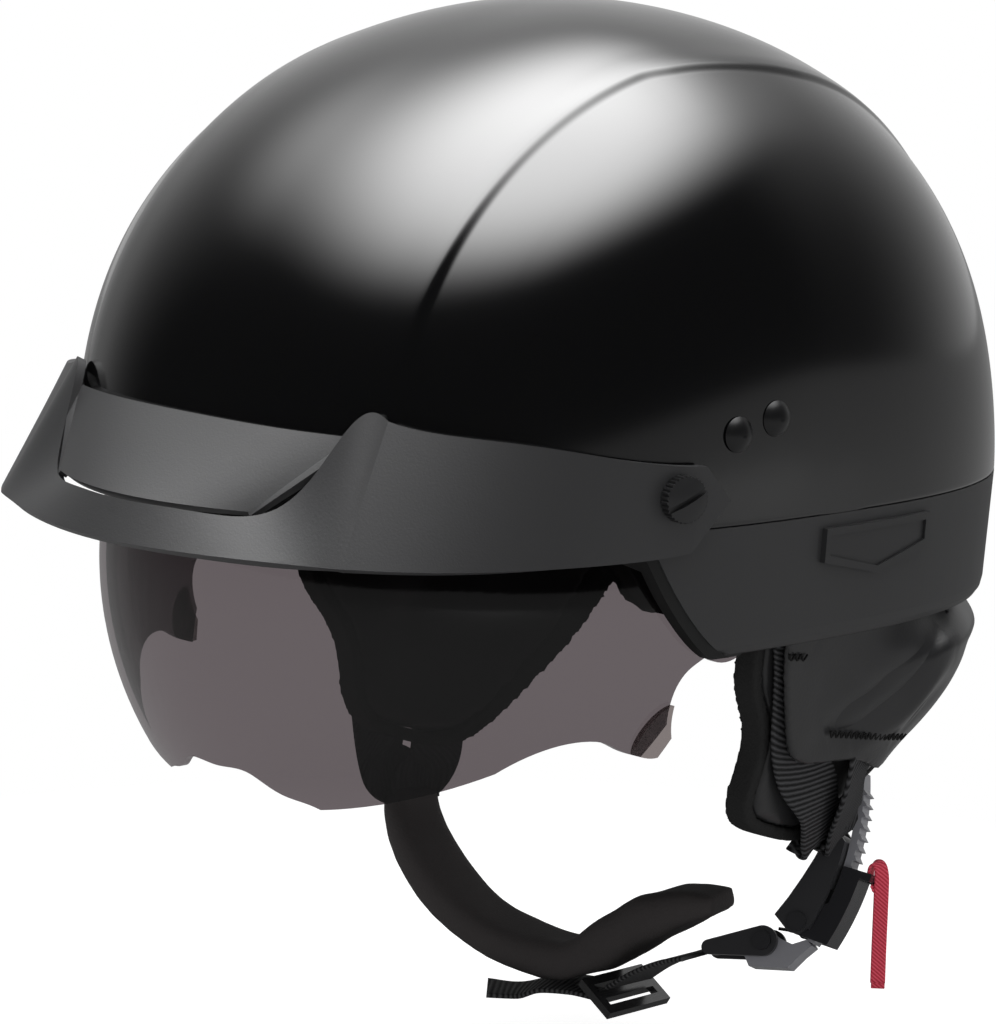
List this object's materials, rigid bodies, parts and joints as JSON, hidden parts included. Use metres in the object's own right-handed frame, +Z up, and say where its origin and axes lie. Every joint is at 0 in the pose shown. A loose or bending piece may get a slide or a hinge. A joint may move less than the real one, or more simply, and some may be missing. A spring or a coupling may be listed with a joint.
{
  "type": "half shell motorcycle helmet",
  "caption": "Half shell motorcycle helmet with a sun peak, drop-down smoked lens, padded neck curtain and a padded chin strap with ratchet buckle.",
  "frame": {"origin": "middle of the head opening, in the plane where the shell meets its skirt", "axes": "+Z up through the crown, -Y to the front where the face looks out, +X to the wearer's left"},
  "size_m": [0.2352, 0.3054, 0.3137],
  "materials": {
    "shell_gloss": "gloss black lacquer",
    "skirt_matte": "matte",
    "trim_rubber": "matte",
    "badge_plastic": "satin",
    "rivet_metal": "satin black",
    "steel": "plain",
    "brass": "plain",
    "peak_plastic": "fine matte",
    "screw_plastic": "knurled satin",
    "foam_liner": "foam beads, matte",
    "pad_fabric": "knitted cloth",
    "smoked_lens": "smoked, clear",
    "grip_plastic": "satin",
    "pivot_plastic": "satin",
    "leatherette": "soft sheen",
    "binding_tape": "woven tape",
    "webbing": "woven webbing",
    "pad_cover": "brushed cloth",
    "buckle_plastic": "semi gloss",
    "buckle_plate": "satin black",
    "pin_metal": "satin black",
    "lever_metal": "semi gloss grey",
    "spring_metal": "wire",
    "tongue_plastic": "gloss grey",
    "ribbon": "woven, red"
  },
  "bodies": {
    "helmet": {"outer_shell": "shell_gloss", "lower_skirt": "skirt_matte", "skirt_trim": "trim_rubber", "badge_plate_left": "badge_plastic", "badge_plate_right": "badge_plastic", "strap_rivets": "rivet_metal", "strap_anchors": "steel", "peak": "peak_plastic", "peak_washers": "trim_rubber", "peak_inserts": "brass", "impact_liner": "foam_liner", "crown_pad": "pad_fabric", "brow_pad": "pad_fabric", "side_pad_left": "pad_fabric", "side_pad_right": "pad_fabric", "nape_pad": "pad_fabric", "pivot_plate_left": "pivot_plastic", "pivot_plate_right": "pivot_plastic", "pivot_screws": "steel", "curtain_body": "leatherette", "curtain_cover": "leatherette", "curtain_binding": "binding_tape", "curtain_snaps": "steel", "front_leg_left": "webbing", "rear_leg_left": "webbing", "front_leg_right": "webbing", "rear_leg_right": "webbing", "chin_pad": "pad_cover", "chin_webbing": "webbing", "webbing_tail": "webbing", "webbing_slider": "buckle_plastic", "buckle_frame": "buckle_plate", "lever_pin": "pin_metal", "lever_spring": "spring_metal"},
    "lens": {"sun_lens": "smoked_lens", "lens_grips": "grip_plastic"},
    "screw_left": {"thumbscrew_left": "screw_plastic"},
    "screw_right": {"thumbscrew_right": "screw_plastic"},
    "lever": {"release_lever": "lever_metal"},
    "tongue": {"toothed_tongue": "tongue_plastic", "bracket_pin": "pin_metal"},
    "bracket": {"chin_bracket": "buckle_plate"},
    "ribbon": {"pull_ribbon": "ribbon"}
  },
  "joints": [
    {"name": "lens_tilt", "type": "hinge", "parent": "helmet", "child": "lens", "pos_m": [0, -0.036, -0.026], "axis": [-1, 0, 0], "range_deg": [0, 37]},
    {"name": "thumbscrew_left_turn", "type": "hinge", "parent": "helmet", "child": "screw_left", "pos_m": [0.10804, -0.0652, 0.0101], "axis": [0.9694, -0.2455, 0.0087], "continuous": true},
    {"name": "thumbscrew_right_turn", "type": "hinge", "parent": "helmet", "child": "screw_right", "pos_m": [-0.10804, -0.0652, 0.0101], "axis": [-0.9694, -0.2455, 0.0087], "continuous": true},
    {"name": "lever_open", "type": "hinge", "parent": "helmet", "child": "lever", "pos_m": [0.0717, 0.0382, -0.134], "axis": [-0.316, 0.8682, -0.3827], "range_deg": [0, 28], "stiffness_Nm_per_rad": 0.04, "springref_deg": -20.05},
    {"name": "tongue_travel", "type": "hinge", "parent": "helmet", "child": "tongue", "pos_m": [0.00237, 0.02518, -0.10628], "axis": [-0.316, 0.8682, -0.3827], "range_deg": [0, 9.2], "deforming": ["chin_webbing"]},
    {"name": "bracket_swivel", "type": "hinge", "parent": "tongue", "child": "bracket", "pos_m": [0.06275, 0.03209, -0.14047], "axis": [-0.316, 0.8682, -0.3827], "range_deg": [-12, 12], "deforming": ["chin_webbing"]},
    {"name": "ribbon_swing", "type": "hinge", "parent": "lever", "child": "ribbon", "pos_m": [0.08639, 0.05074, -0.11767], "axis": [-0.316, 0.8682, -0.3827], "range_deg": [-6, 6]}
  ]
}
